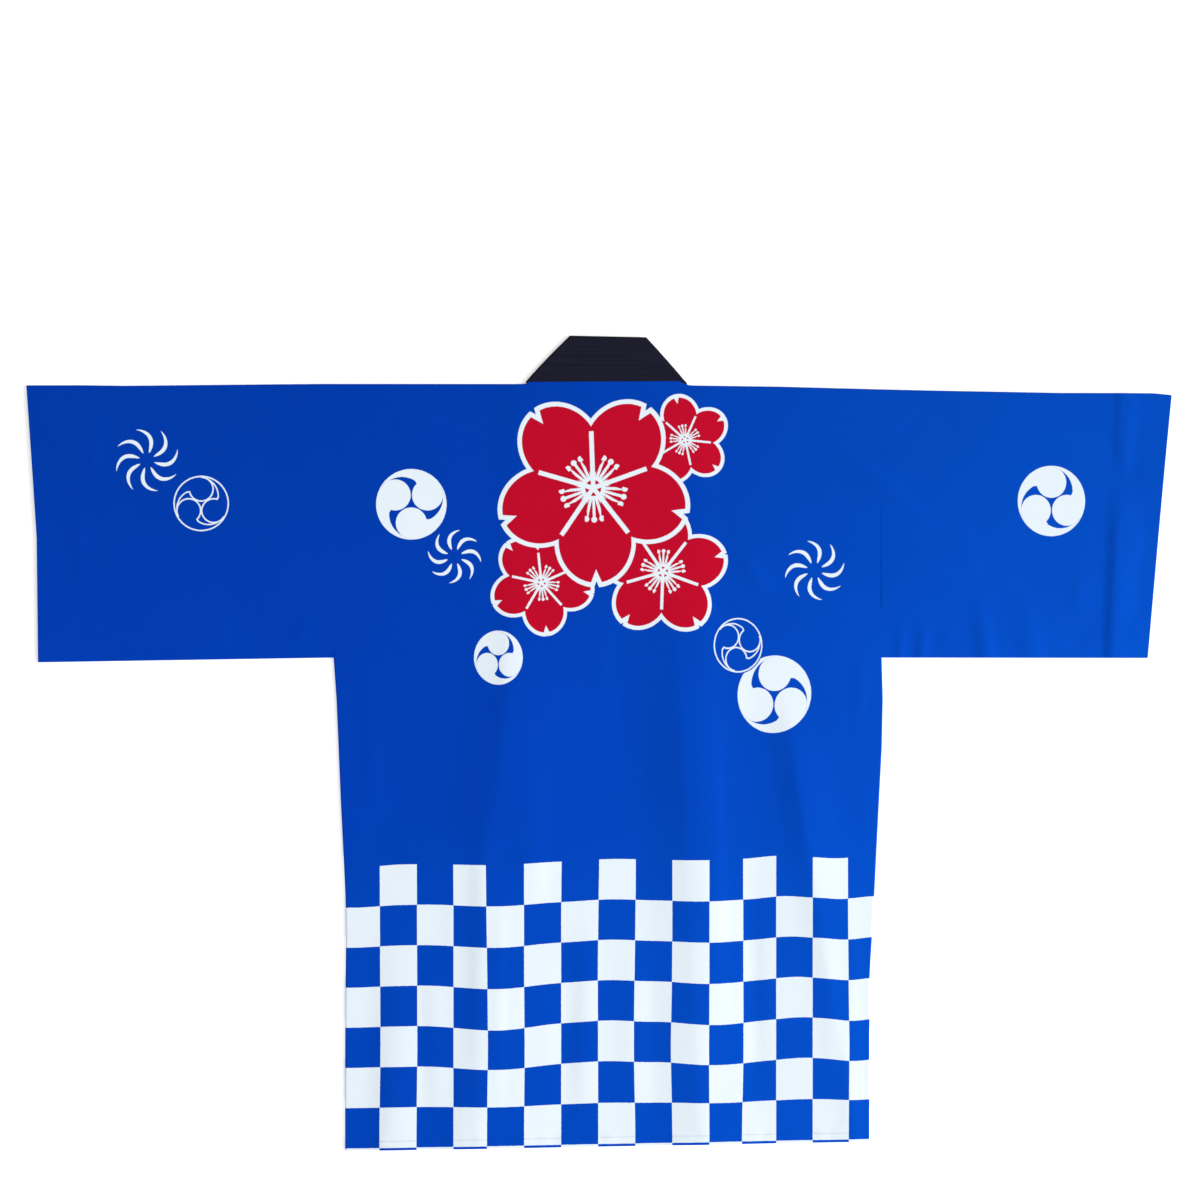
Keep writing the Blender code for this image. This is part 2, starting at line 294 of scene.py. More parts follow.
def backLift(x, drop):
    y = -drop
    outwards = abs(x) / halfWidth(drop, sideOf(x))
    loose = 1 - ease(*softness["nearSeam"], outwards) * ease(*softness["seamDrop"], drop)
    lift = longLift(x, drop) + loose * looseLift(x, y)
    neck = ridge(y - neckRidge["at"], *neckRidge["widths"])
    neck *= 1 - ease(*neckRidge["ends"], abs(x))
    return lift + neckRidge["height"] * neck + hemPucker(x, hemDrop(x) - drop)


def bandRise(x):
    # the back is lifted by the collar band under it
    return body["overBand"] * (1 - ease(*body["offBand"], abs(x)))


def sleeveLift(side, x, drop):
    lift = 0.0
    if side == "right":
        for xBottom, lean, reach, height, width in gathers:
            above = body["underarm"] - drop
            faded = 1 - ease(0, reach, above)
            lift = max(lift, faded * height * ridge(x - xBottom - lean * above, width, width))
        for xFrom, dropFrom, xTo, dropTo, height, leftWidth, rightWidth in cuffRidges:
            share = (drop - dropFrom) / (dropTo - dropFrom)
            fade = fadedEnds(cuffRidgeFade, share)
            crest = xFrom + share * (xTo - xFrom)
            lift += fade * height * ridge(x - crest, leftWidth, rightWidth)
    return lift


# What is printed where
check = {
    "column": 41.5,
    "row": 45.3,
    "columnStart": -10.4,
    "frontStart": 256.0,
    "rowStart": -533.4,
    "slope": 0.0184,
    "slopeDrops": (350, 500),  # the rows take on their slope between these
    "takenDrops": (300, 540),  # and the ridges take up cloth between these
}
taken = (  # cloth taken up by the ridges: from x, to x, how much
    (-175, -136, -4.0),
    (112, 151, 5.0),
    (151, 189, 3.2),
    (195, 290, 2.0),
)
foldDrops = (410, 530, 735)
# Where the cloth folds, the check's rows sag and its columns shift to the left. Each has its
# place across at the second and at the third of these drops, its size at either, and a width
# to the left and to the right. All fade in from the first drop, and out again at the hem
sags = (
    (-280, -285, 2.8, 0.4, 60, 50),
    (-122, -122, 2.2, 6.6, 92, 76),
    (6, -2, -1.9, -2.4, 60, 54),
    (112, 124, 1.2, 5.2, 74, 76),
    (192, 221, -2.0, -1.9, 40, 34),
    (258, 277, 2.0, 3.2, 34, 38),
)
shifts = (
    (-235, -240, -0.4, -1.4, 50, 70),
    (-148, -122, 1.6, -1.4, 36, 56),
    (-15, 52, -1.2, 1.9, 80, 90),
    (152, 154, -1.3, -1.8, 44, 34),
    (300, 290, 2.9, -1.2, 50, 80),
)


def foldsTake(table, x, share):
    total = 0.0
    for upperX, lowerX, upper, lower, *widths in table:
        size = upper + share * (lower - upper)
        total += size * ridge(x - upperX - share * (lowerX - upperX), *widths)
    return total


def printPoint(x, y):
    # where a point of the back is on its flat cut
    low = ease(*check["takenDrops"], -y)
    across = x
    for start, end, much in taken:
        share = 1 - ease(start, end, x) if much < 0 else ease(start, end, x)
        across += much * share * low
    start, upper, lower = foldDrops
    fade = ease(start, upper, -y) * (1 - ease(lower, body["hemRight"], -y))
    share = min(max((-y - upper) / (lower - upper), 0.0), 1.0)
    across += fade * foldsTake(shifts, x, share)
    sloped = check["slope"] * x * ease(*check["slopeDrops"], -y)
    return across, y - sloped + fade * foldsTake(sags, x, share)


def askew(x, y):
    # where the collar's lie behind the neck moves a point
    share = min(max((x + band["corner"]) / (2 * band["corner"]), 0.0), 1.0)
    moves = []
    for left, right in ((1, 2), (3, 4)):
        ends = readTable(neckSkew, y, left), readTable(neckSkew, y, right)
        moves.append(ends[0] + share * (ends[1] - ends[0]))
    return x + moves[0], y + moves[1]


def inScene(name, data):
    made = bpy.data.objects.new(name, data)
    bpy.context.collection.objects.link(made)
    return made


# Cloth pieces
def finished(name, bm, material, angle=50):
    bmesh.ops.scale(bm, verts=bm.verts[:], vec=(mm, mm, mm))
    shift = (centreLine * mm, shoulderLine * mm, 0)
    bmesh.ops.translate(bm, verts=bm.verts[:], vec=shift)
    bm.normal_update()
    mesh = bpy.data.meshes.new(name)
    bm.to_mesh(mesh)
    bm.free()
    mesh.materials.append(material)
    mesh.shade_smooth()
    mesh.set_sharp_from_angle(angle=math.radians(angle))
    piece = inScene(name, mesh)
    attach(piece, "root")
    print(name, len(mesh.polygons), "faces")
    return piece


def shell(name, columns, rows, place, material, thickness=wall, closed=False):
    # place gives a point of the cloth's right side, and where that point was on the flat cut
    wide, long = len(columns) - 1, len(rows) - 1
    bm = bmesh.new()
    bmesh.ops.create_grid(bm, x_segments=wide, y_segments=long, size=0.5)
    flat = bm.verts.layers.float_vector.new("flatCut")
    for v in bm.verts:
        column = columns[round((v.co.x + 0.5) * wide)]
        row = rows[round((v.co.y + 0.5) * long)]
        v.co, v[flat] = place(column, row)
    if closed:
        bmesh.ops.remove_doubles(bm, verts=bm.verts[:], dist=0.004)
    bm.normal_update()
    highest = max(bm.faces, key=lambda f: f.calc_center_median().z)
    if highest.normal.z < 0:
        bmesh.ops.reverse_faces(bm, faces=bm.faces[:])
        bm.normal_update()
    bmesh.ops.solidify(bm, geom=bm.faces[:], thickness=thickness)
    return finished(name, bm, material)


def curl(share, depth, amount):
    # how far out and how far in a point is on an edge that turns down by a quarter
    angle = share * math.pi / 2
    out = (foldRadius - depth) * math.sin(angle)
    inward = foldRadius - (foldRadius - depth) * math.cos(angle)
    return (
        share * foldRadius + amount * (out - share * foldRadius),
        depth + amount * (inward - depth),
    )


def ringOf(first, upper, last, lower, shares):
    # once round a flat tube: degrees on its two edges, shares of the width on its walls
    turn = [90 * share for share in curlSteps[:-1]]
    ring = [(first, angle) for angle in (0, *turn)] + [(upper, share) for share in shares]
    ring += [(last, angle) for angle in (*reversed(turn), 0, *(-a for a in turn))]
    ring += [(lower, share) for share in reversed(shares)]
    return ring + [(first, -angle) for angle in (*reversed(turn), 0)]


def hemStations(turned, thick, step):
    # distance above the fold, depth under the outer layer, cloth used since the fold
    turn = thick / 2
    stations = []
    for i in range(1, 6):
        angle = math.pi * i / 6
        above = turn - turn * math.sin(angle)
        stations.append((above, turn - turn * math.cos(angle), turn * angle))
    for above in spread(turn, turned, step):
        stations.append((above, thick, turn * math.pi + above - turn))
    return stations


def bodyRows(length):
    # drop, depth, cloth past the fold, share of the shoulder's curl
    rows = [(0.0, 0.0, 0.0, share) for share in reversed(curlSteps)]
    drops = [foldRadius, 2.4, 3.8, 5.6, 8.0] + spread(11, length - 26, body["step"])
    drops += spread(length - 23, length - layer / 2, body["hemStep"])
    rows += [(drop, 0.0, 0.0, 0.0) for drop in drops]
    hem = hemStations(body["hem"], layer, body["hemStep"])
    rows += [(length - above, *turned, 0.0) for above, *turned in hem]
    return rows


def downBody(x, drop, length, topBend, depth):
    # y of a row of the body, and how far in the shoulder's curl brings it
    wrap = ease(*body["shoulderCurl"], abs(x))
    out, inward = curl(topBend, 0, wrap)
    start = shoulder(x) - foldRadius
    share = max(drop - foldRadius, 0) / (length - foldRadius)
    bottom = hemDrop(x) + length - body["hemLeft"]
    y = start - share * (bottom + start) + out
    return y, (inward if topBend else 0.0), topBend * wrap


def backPiece(cotton):
    half = body["halfWidth"] - foldRadius
    flat = [-half, 1.2 - half, *spread(3 - half, half - 3, body["step"]), half - 1.2, half]
    columns = [(-half, share) for share in reversed(curlSteps)]
    columns += [(x, 0.0) for x in flat] + [(half, share) for share in curlSteps]

    def place(column, row):
        (cutX, bend), (drop, depth, past, topBend) = column, row
        side = sideOf(cutX)
        sign = signOf[side]
        seamed = ease(*body["seamStart"], drop)
        out, inward = curl(bend, depth, seamed)
        x = cutX * (halfWidth(drop, side) - foldRadius) / half + sign * out
        y, topInward, curled = downBody(x, drop, body["hemLeft"], topBend, depth)
        neck = 1 - ease(body["neckFlat"][side], body["neckEnd"], abs(x))
        rise = askew(x, body["neckRise"] + 0.5)[1]
        y += neck * (rise - shoulder(x)) * (1 - ease(0, body["neckReach"], drop))
        lift = backLift(x, -y) * (1 - bend * seamed) * (1 - curled)
        z = backLevel + bandRise(x) * (1 - curled) + lift - inward - topInward
        flatX, flatY = printPoint(x + sign * bend * body["seamCloth"], y)
        return Vector((x, y, z)), Vector((flatX, flatY - past, 0))

    return shell("back_cloth", columns, bodyRows(body["hemLeft"]), place, cotton)


front = {
    "shorter": 2.0,  # than the back
    "inset": 0.6,  # its inner edge is this far inside the band's seam
    "strength": {"left": 0.8, "right": 1.0},  # of its own folds
    "swell": 0.5,
    "longShare": 0.45,  # of the back's long ridges
    "room": 1.1,  # height that the back leaves it
    "step": 4.3 / 210,
}


def frontSpot(side, share, drop):
    # where a point of the front is across the coat, as a distance from the centre line
    inner = band["corner"] - front["inset"] - band["lean"] * drop / body["hemLeft"]
    outer = halfWidth(drop, side) - foldRadius
    return inner + share * (outer - inner)


def frontLift(side, share, across, y, drop):
    x = signOf[side] * across
    free = ease(0, 0.06, share) * (1 - ease(0.90, 0.99, share)) * ease(6, 60, drop)
    own = creaseLift(across, y, frontCreases) + front["swell"] * swell(x, y, 2.0)
    long = longLift(x, drop)
    lift = front["strength"][side] * free * (own + front["longShare"] * long)
    return min(lift, front["room"] + 0.5 * long)


def frontPiece(side, cotton):
    columns = [(share, 0.0) for share in spread(0, 0.986, front["step"])]
    columns += [(0.994, 0.0), (1.0, 0.0)] + [(1.0, share) for share in curlSteps]
    length = body["hemLeft"] - front["shorter"]

    def place(column, row):
        (share, bend), (drop, depth, past, topBend) = column, row
        out, inward = curl(bend, depth, ease(*body["seamStart"], drop))
        across = frontSpot(side, share, drop) + out
        x = signOf[side] * across
        y, topInward, curled = downBody(x, drop, length, topBend, depth)
        lift = frontLift(side, share, across, y, drop) * (1 - bend) * (1 - curled)
        z = lift + inward + topInward
        flatX, flatY = across + bend * body["seamCloth"], y + check["slope"] * x - past
        return Vector((x, y, z)), Vector((flatX, flatY, 1))

    return shell("front_cloth_" + side, columns, bodyRows(length), place, cotton)


sleeve = {
    "hem": 50,
    "under": (5.0, 3.0, 1.4, 0.12),  # rows that go on inwards under the armhole seam
    "underDepth": 0.62,
    "puckerIn": 38,  # the cuff's stitches pucker it this far in
    "foldShare": 0.35,  # of the upper wall's folds, in the under wall
    "swell": 0.7,
    "step": 4.2,
}


def sleeveWalls(side, across, share):
    # y of a point, and the heights of the upper and under walls there
    armhole = halfWidth(0, side)
    cuff = cuffAt(side, share)
    along = min(max((across - armhole) / (cuff - armhole), 0.0), 1.0)
    x = signOf[side] * across
    top = shoulder(x)
    bottom = -body["underarm"] - along * (cuffBottom[side] - body["underarm"])
    y = top - foldRadius + share * (bottom - top + 2 * foldRadius)
    closing = 1 - ease(0.95, 1, share)
    free = ease(0, 0.03, share) * closing
    loose = 1 - (1 - closing) * ease(0, 0.02, along)
    puckered = hemPucker(y, cuff - across - sleeve["puckerIn"]) * free
    fold = sleeveLift(side, across, -y)
    high = backLevel + fold + loose * looseLift(x, y) + puckered
    slow = sleeve["swell"] * free * ease(0, 0.05, along) * swell(-x, y, 3.1)
    return y, high, sleeve["foldShare"] * fold + slow


def sleevePiece(side, cotton):
    sign, step = signOf[side], sleeve["step"]
    armhole = halfWidth(0, side)
    # share of the way to the cuff, distance above the cuff's fold, depth, cloth past the fold
    columns = [(None, -above, sleeve["underDepth"], 0.0) for above in sleeve["under"]]
    columns += [(0.0, 0.0, 0.0, 0.0)]
    columns += [(share, 0.0, 0.0, 0.0) for share in spread(0.006, 0.985, step / 330)]
    columns += [(1.0, above, 0.0, 0.0) for above in (3.4, 2.2, 1.2, 0.6)]
    columns += [(1.0, *hem) for hem in hemStations(sleeve["hem"], layer, step)]
    shares = [0.0, 0.004, 0.01] + spread(0.02, 0.98, step / 305) + [0.99, 0.996, 1.0]
    ring = ringOf("top", "over", "bottom", "under", shares)

    def place(column, point):
        (along, above, depth, past), (part, value) = column, point
        share = {"top": 0.0, "bottom": 1.0}.get(part, value)
        cuff = cuffAt(side, share)
        across = armhole + above if along is None else armhole + along * (cuff - armhole) - above
        x = sign * across
        y, high, low = sleeveWalls(side, across, share)
        high, low = high - depth, low + depth
        facing = {"over": 0.0, "under": 1.0}.get(part)
        if part in ("over", "under"):
            z = high if part == "over" else low
        else:
            angle = math.radians(value)
            out = (foldRadius - depth) * math.cos(angle)
            y += out if part == "top" else -out
            z = (high + low) / 2 + (high - low) / 2 * math.sin(angle)
            facing = 0.5 - value / 180
        return Vector((x, y, z)), Vector((sign * (across + past), y, facing))

    return shell("sleeve_cloth_" + side, columns, ring, place, cotton, closed=True)


def bandStations():
    # side, place along the seam edge and the free edge, distance above the end, depth
    width, corner = band["width"], band["corner"]
    free = corner - width
    halfTurn = (band["upper"] - band["lower"]) / 2 * math.pi / 2 * math.sqrt(2)
    ways = {}
    for sign in (-1, 1):
        way = [(s * (corner - halfTurn), s * (free - halfTurn)) for s in spread(0, 1, 0.055)[:-1]]
        way += [(corner + off, free + off) for off in spread(-halfTurn, halfTurn, 0.26)]
        ends = [
            corner + band["seam"] + hemDrop(sign * (x - band["lean"])) for x in (corner, free)
        ]
        starts = (corner + halfTurn, free + halfTurn)
        for share in spread(0, 1, 5.5 / 850)[1:]:
            way.append([start + share * (end - start) for start, end in zip(starts, ends)])
        last = way.pop()
        hem = hemStations(band["hem"], band["hemThick"], body["hemStep"])
        closing = [(2.0, 0.0), (1.0, 0.0), *(turned[:2] for turned in hem)]
        ways[sign] = [(sign, *station, 0.0, 0.0) for station in way]
        ways[sign] += [(sign, *last, above, depth) for above, depth in closing]
    return ways[-1][:0:-1] + ways[1]


def bandSpot(station, point):
    (sign, seamEdge, freeEdge, above, depth), (part, value) = station, point
    radius = (band["upper"] - band["lower"]) / 2
    middle = (band["upper"] + band["lower"]) / 2
    halfTurn = radius * math.pi / 2
    rim = band["half"] / band["width"]
    half = band["half"] - depth
    if part in ("outer", "inner"):
        share = value
        facing = 0.0 if part == "outer" else 1.0
        height = half * (1 - 2 * facing)
    else:
        angle = math.radians(value)
        reach = half / band["width"] * math.cos(angle)
        share = 1 - rim + reach if part == "free" else rim - reach
        height = half * math.sin(angle)
        facing = 0.5 - value / 180
    u = seamEdge + share * (freeEdge - seamEdge) - above
    v = share * band["width"]
    alongFold = (u - band["corner"] - v) / math.sqrt(2)
    pastFold = (u - band["corner"] + v) / math.sqrt(2)
    angle = min(max((pastFold + halfTurn) / radius, 0.0), math.pi)
    fromEdge = min(v, band["width"] - v)
    press = band["press"] * ridge(fromEdge - band["pressIn"], *[band["pressWide"]] * 2)
    wave = band["wave"] * math.sin(u / band["waveLong"] + 4 * share) * math.sin(math.pi * share)
    height += (wave - press) * (1 - 2 * facing) * (1 - depth / band["hemThick"])
    reach = radius + height
    beyond = max(abs(pastFold), halfTurn)
    fromFold = -beyond + reach * math.sin(angle)
    x = band["corner"] + (fromFold + alongFold) / math.sqrt(2)
    y = band["seam"] + (fromFold - alongFold) / math.sqrt(2)
    x -= band["lean"] * max(-y, 0.0) / body["hemLeft"]
    z = max(middle + reach * math.cos(angle), 0.0)
    return Vector((*askew(sign * x, y), z)), Vector((sign * u, v, facing))


def bandPiece(cotton):
    rims = [times * band["half"] / band["width"] for times in (1, 1.6, 2.6)]
    shares = [*rims, *spread(0.08, 0.92, 0.084), *(1 - rim for rim in reversed(rims))]
    ring = ringOf("seam", "outer", "free", "inner", shares)
    stations = bandStations()
    return shell("collar_band", stations, ring, bandSpot, cotton, band["wall"], closed=True)


# Sewing
sewing = {
    "length": 2.5,
    "gap": 0.75,
    "thick": 0.34,
    "high": 0.22,
    "hemUp": 10.4,
    "cuffUp": 48.0,
    "bandIn": 0.055,  # share of the band's width
}
stitchStep = sewing["length"] + sewing["gap"]


def stitchRun(name, way, thread):
    # way gives points along the cloth's surface; one small stitch lies on each length
    bm = bmesh.new()
    size = Matrix.Diagonal((sewing["length"] / 2, sewing["thick"] / 2, sewing["high"], 1))
    for line in way:
        room = 0.0
        for start, end in zip(line, line[1:]):
            step = end - start
            while room < step.length:
                turn = step.to_track_quat("X", "Z").to_matrix().to_4x4()
                spot = Matrix.Translation(start + step.normalized() * room)
                bmesh.ops.create_icosphere(bm, subdivisions=1, radius=1, matrix=spot @ turn @ size)
                room += stitchStep
            room -= step.length
    for vert in bm.verts:
        vert.co.z = max(vert.co.z, 0.0)  # none goes into the floor
    bmesh.ops.recalc_face_normals(bm, faces=bm.faces[:])
    return finished(name, bm, thread, angle=80)


def backHemWay():
    points = []
    for x in spread(-290, 288, stitchStep):
        y = sewing["hemUp"] - hemDrop(x)
        points.append(Vector((x, y, backLevel + bandRise(x) + backLift(x, -y))))
    return [points]


def frontHemWay(side):
    length = body["hemLeft"] - front["shorter"]
    drop = length - sewing["hemUp"]
    points = []
    for share in spread(0.02, 0.985, stitchStep / 205):
        across = frontSpot(side, share, drop)
        x = signOf[side] * across
        y = downBody(x, drop, length, 0, 0)[0]
        z = max(frontLift(side, share, across, y, drop), sewing["high"])
        points.append(Vector((x, y, z)))
    return [points]


def cuffWay(side):
    upper, under = [], []
    for share in spread(0.015, 0.985, stitchStep / 305):
        across = cuffAt(side, share) - sewing["cuffUp"]
        y, high, low = sleeveWalls(side, across, share)
        x = signOf[side] * across
        upper.append(Vector((x, y, high)))
        under.append(Vector((x, y, max(low, sewing["high"]))))
    return [upper, under]


def bandWay():
    stations = bandStations()[7:-7]  # without the ends' turned hems
    points = [bandSpot(station, ("outer", sewing["bandIn"]))[0] for station in stations]
    return [[Vector((p.x, p.y, max(p.z, sewing["high"]))) for p in points]]


# Node tools
class Wire:
    def __init__(self, tree, socket):
        self.tree, self.socket = tree, socket

    def math(self, operation, *others):
        made = self.tree.nodes.new("ShaderNodeMath")
        made.operation = operation
        for slot, value in zip(made.inputs, (self, *others)):
            plug(self.tree, slot, value)
        return Wire(self.tree, made.outputs[0])

    def __add__(self, other):
        return self.math("ADD", other)

    def __sub__(self, other):
        return self.math("SUBTRACT", other)

    def __mul__(self, other):
        return self.math("MULTIPLY", other)

    def __truediv__(self, other):
        return self.math("DIVIDE", other)

    def __rsub__(self, number):
        return self * -1.0 + number

    def __neg__(self):
        return self * -1.0

    def __abs__(self):
        return self.math("ABSOLUTE")

    def least(self, other):
        return self.math("MINIMUM", other)

    def most(self, other):
        return self.math("MAXIMUM", other)

    def clamp(self):
        return self.most(0.0).least(1.0)


def plug(tree, slot, value):
    if isinstance(value, Wire):
        tree.links.new(value.socket, slot)
    else:
        slot.default_value = value


def node(tree, kind, inputs=None, output=0, **settings):
    made = tree.nodes.new(kind)
    for key, value in settings.items():
        setattr(made, key, value)
    for key, value in (inputs or {}).items():
        plug(tree, made.inputs[key], value)
    return Wire(tree, made.outputs[output])


def split(tree, vector):
    made = tree.nodes.new("ShaderNodeSeparateXYZ")
    plug(tree, made.inputs[0], vector)
    return [Wire(tree, out) for out in made.outputs]


def joined(tree, x, y, z=0.0):
    return node(tree, "ShaderNodeCombineXYZ", {"X": x, "Y": y, "Z": z})


def hypot(x, y):
    return (x * x + y * y).math("SQRT")


def mix(tree, share, first, second):
    # sockets 6, 7 and output 2 are its colours
    inputs = {0: share, 6: first, 7: second}
    return node(tree, "ShaderNodeMix", inputs, output=2, data_type="RGBA")


def noise(tree, vector, scale, detail=2.0, output=0):
    inputs = {"Vector": vector, "Scale": scale, "Detail": detail}
    return node(tree, "ShaderNodeTexNoise", inputs, output)


def vectorMath(tree, operation, first, second):
    slot = "Scale" if operation == "SCALE" else 1
    return node(tree, "ShaderNodeVectorMath", {0: first, slot: second}, operation=operation)


def smooth(tree, value, low, high, most):
    inputs = {0: value, 1: low, 2: high, 3: 0.0, 4: most}
    return node(tree, "ShaderNodeMapRange", inputs, interpolation_type="SMOOTHSTEP")


def makeGroup(build, outputs, values):
    # its inputs are a point and these values
    group = bpy.data.node_groups.new(build.__name__, "ShaderNodeTree")
    sockets = [("Point", "INPUT", "Vector")]
    sockets += [(label, "INPUT", "Float") for label in values]
    sockets += [(label, "OUTPUT", "Float") for label in outputs]
    for label, way, kind in sockets:
        group.interface.new_socket(name=label, in_out=way, socket_type="NodeSocket" + kind)
    start = group.nodes.new("NodeGroupInput")
    end = group.nodes.new("NodeGroupOutput")
    made = build(group, {label: Wire(group, start.outputs[label]) for label in ("Point", *values)})
    for label, wire in made.items():
        group.links.new(wire.socket, end.inputs[label])
    return group


def useGroup(tree, group, inputs):
    made = tree.nodes.new("ShaderNodeGroup")
    made.node_tree = group
    for label, value in inputs.items():
        plug(tree, made.inputs[label], value)
    return {out.name: Wire(tree, out) for out in made.outputs}


def local(tree, given):
    x, y, _ = split(tree, given["Point"])
    return x - given["Centre X"], y - given["Centre Y"]


# Motifs, in millimetres on the flat cut
printSoft = 0.5  # width of a printed edge


def edge(distance):
    return (distance / printSoft + 0.5).clamp()


comma = {  # in shares of the crest's radius, and degrees
    "headX": 0.459,
    "headY": 0.265,
    "head": 0.44,
    "tail": 0.25,
    "tailPower": 1.6,
    "tailEnd": 117,
    "tailSpan": 81,
    "clear": 1.2,  # millimetres round an outlined crest
}


def commaCrest(tree, given):
    # three commas in a ring; Line of nothing fills them, or else it outlines them, and Clear
    # covers the ring and a little round it
    x, y = local(tree, given)
    x = x * given["Hand"]
    y = y / given["Tall"]
    reach = given["Radius"]
    far = hypot(x, y) / reach
    turned = y.math("ARCTAN2", x) - given["Turn"]
    angle = turned.math("WRAP", math.radians(150), math.radians(30))
    x, y = angle.math("COSINE") * far, angle.math("SINE") * far
    aheadX, aheadY = x + comma["headX"], y - comma["headY"]
    toAhead = hypot(aheadX, aheadY) - comma["head"]
    toBehind = hypot(x - comma["headX"], y - comma["headY"]) - comma["head"]
    swing = aheadY.math("ARCTAN2", aheadX)
    taper = (math.radians(comma["tailEnd"]) - swing) / math.radians(comma["tailSpan"])
    taper = taper.clamp().math("POWER", comma["tailPower"])
    gap = toAhead.least(toBehind).least(taper * comma["tail"] - toAhead)
    inside = (1.0 - far).least(-gap) * reach
    lined = given["Line"] / 2.0 - abs(inside) - inside
    disc = (1.0 - far) * reach + given["Line"] / 2.0 + comma["clear"]
    return {
        "Mask": edge(inside + lined * given["Line"].math("GREATER_THAN", 0.0)),
        "Clear": edge(disc) * given["Line"].math("GREATER_THAN", 0.0),
    }


wheel = {"blades": 8, "bend": 2.9, "fullness": 0.55, "thinner": 0.15, "tipSharp": 20.0}


def swirlWheel(tree, given):
    # curved blades, narrow at both ends
    x, y = local(tree, given)
    far = hypot(x, y)
    out = (far - given["Inner"]) / (given["Outer"] - given["Inner"])
    grown = out.most(0.001)
    bent = given["Sweep"] * grown.math("POWER", wheel["bend"]) + given["Start"]
    slope = given["Sweep"] * grown.math("POWER", wheel["bend"] - 1) * wheel["bend"] * far
    slope = slope / (given["Outer"] - given["Inner"])
    half = math.pi / wheel["blades"]
    across = abs((y.math("ARCTAN2", x) - bent).math("WRAP", half, -half)) * far
    across = across / (slope * slope + 1.0).math("SQRT")
    fat = (out.clamp() * math.pi).math("SINE").math("POWER", wheel["fullness"]) * given["Blade"]
    tips = out.least(1.0 - out) * wheel["tipSharp"]
    return {"Mask": edge((fat - across - wheel["thinner"]).least(tips))}


flower = {  # in shares of the blossom's radius
    "petalAt": 0.57,
    "petalLong": 0.43,
    "petalWide": 0.385,
    "notchAt": 0.86,
    "notchWide": 0.42,
    "heart": 0.3,
    "gapWide": 0.024,  # the white lines between the petals
    "gapLong": 0.60,
    "hub": 0.105,
    "hubLine": 0.020,
    "stemLine": 0.0145,
    "stemFrom": 0.12,
    "stemTo": 0.31,
    "dotAt": 0.335,
    "dot": 0.030,
    "stemFan": 0.075,  # the stems and dots stay within these of a petal's middle
    "dotFan": 0.10,
}


def blossom(tree, given):
    # five notched petals; Body holds the outline too, Red what is inside it
    x, y = local(tree, given)
    far = hypot(x, y)
    half, stemHalf = math.pi / 5, math.pi / 25
    angle = (y.math("ARCTAN2", x) - given["Turn"]).math("WRAP", half, -half)
    reach = given["Radius"]

    def within(share, distance=far):
        return distance * -1.0 + reach * flower[share]

    out = angle.math("COSINE") * far / reach
    aside = abs(angle.math("SINE") * far / reach)
    alongPetal = (out - flower["petalAt"]) / flower["petalLong"]
    petal = (1.0 - hypot(alongPetal, aside / flower["petalWide"])) * 0.40
    notch = (out - flower["notchAt"]) * flower["notchWide"] - aside
    inside = petal.least(notch * -0.9) * reach
    inside = inside.most(within("heart"))
    toNext = (half - abs(angle)).math("SINE") * far
    gap = within("gapWide", toNext).least(within("gapLong"))
    hub = within("hubLine", abs(far - reach * flower["hub"]))
    spoke = abs(angle.math("WRAP", stemHalf, -stemHalf))
    stem = within("stemLine", spoke * far).least(within("stemTo"))
    stem = stem.least(far - reach * flower["stemFrom"])
    stem = stem.least(abs(angle) * -far + reach * flower["stemFan"])
    dot = within("dot", hypot(far - reach * flower["dotAt"], spoke * far))
    dot = dot.least(abs(angle) * -far + reach * flower["dotFan"])
    white = gap.most(hub).most(stem).most(dot)
    return {
        "Body": edge(inside + given["Line"]),
        "Red": edge(inside.least(-white)),
    }


def checkPrint(tree, given):
    x, y, _ = split(tree, given["Point"])
    column = ((x - given["Column Start"]) / given["Column"]).math("FLOOR")
    row = ((given["Row Start"] - y) / given["Row"]).math("FLOOR")
    odd = (column + row).math("FLOORED_MODULO", 2.0)
    return {"Mask": (1.0 - odd) * row.math("GREATER_THAN", -0.5)}


def clothWeave(tree, given):
    # crossing threads with slubs, in millimetres on the flat cut
    x, y, z = split(tree, given["Point"])
    turn = 2 * math.pi
    wobble = noise(tree, given["Point"], 0.35) * 3.0
    warp = (x / given["Thread"] * turn + wobble).math("SINE")
    weft = (y / given["Thread"] * turn + wobble).math("SINE")
    threads = (warp * weft * 0.5 + 0.5) * 0.6
    threads = threads + (abs(warp) + abs(weft)) * 0.2
    slubX = noise(tree, joined(tree, x * 0.05, y * 1.3, z), 1.0)
    slubY = noise(tree, joined(tree, x * 1.5, y * 0.04, z), 1.0)
    slub = (slubX + slubY) * 0.5
    cloud = noise(tree, given["Point"], 0.012, 3.0)
    tone = (slub - 0.5) * given["Slub"] + (cloud - 0.5) * given["Cloud"] + 1.0
    return {"Height": threads + slub * 0.8, "Tone": tone}


crestValues = ("Centre X", "Centre Y", "Radius", "Tall", "Turn", "Hand", "Line")
swirlValues = ("Centre X", "Centre Y", "Inner", "Outer", "Start", "Sweep", "Blade")
emblemValues = ("Centre X", "Centre Y", "Radius", "Turn", "Line")
crestGroup = makeGroup(commaCrest, ("Mask", "Clear"), crestValues)
swirlGroup = makeGroup(swirlWheel, ("Mask",), swirlValues)
blossomGroup = makeGroup(blossom, ("Body", "Red"), emblemValues)
checkGroup = makeGroup(checkPrint, ("Mask",), ("Column", "Row", "Column Start", "Row Start"))
weaveGroup = makeGroup(clothWeave, ("Height", "Tone"), ("Thread", "Slub", "Cloud"))
print("node groups made")


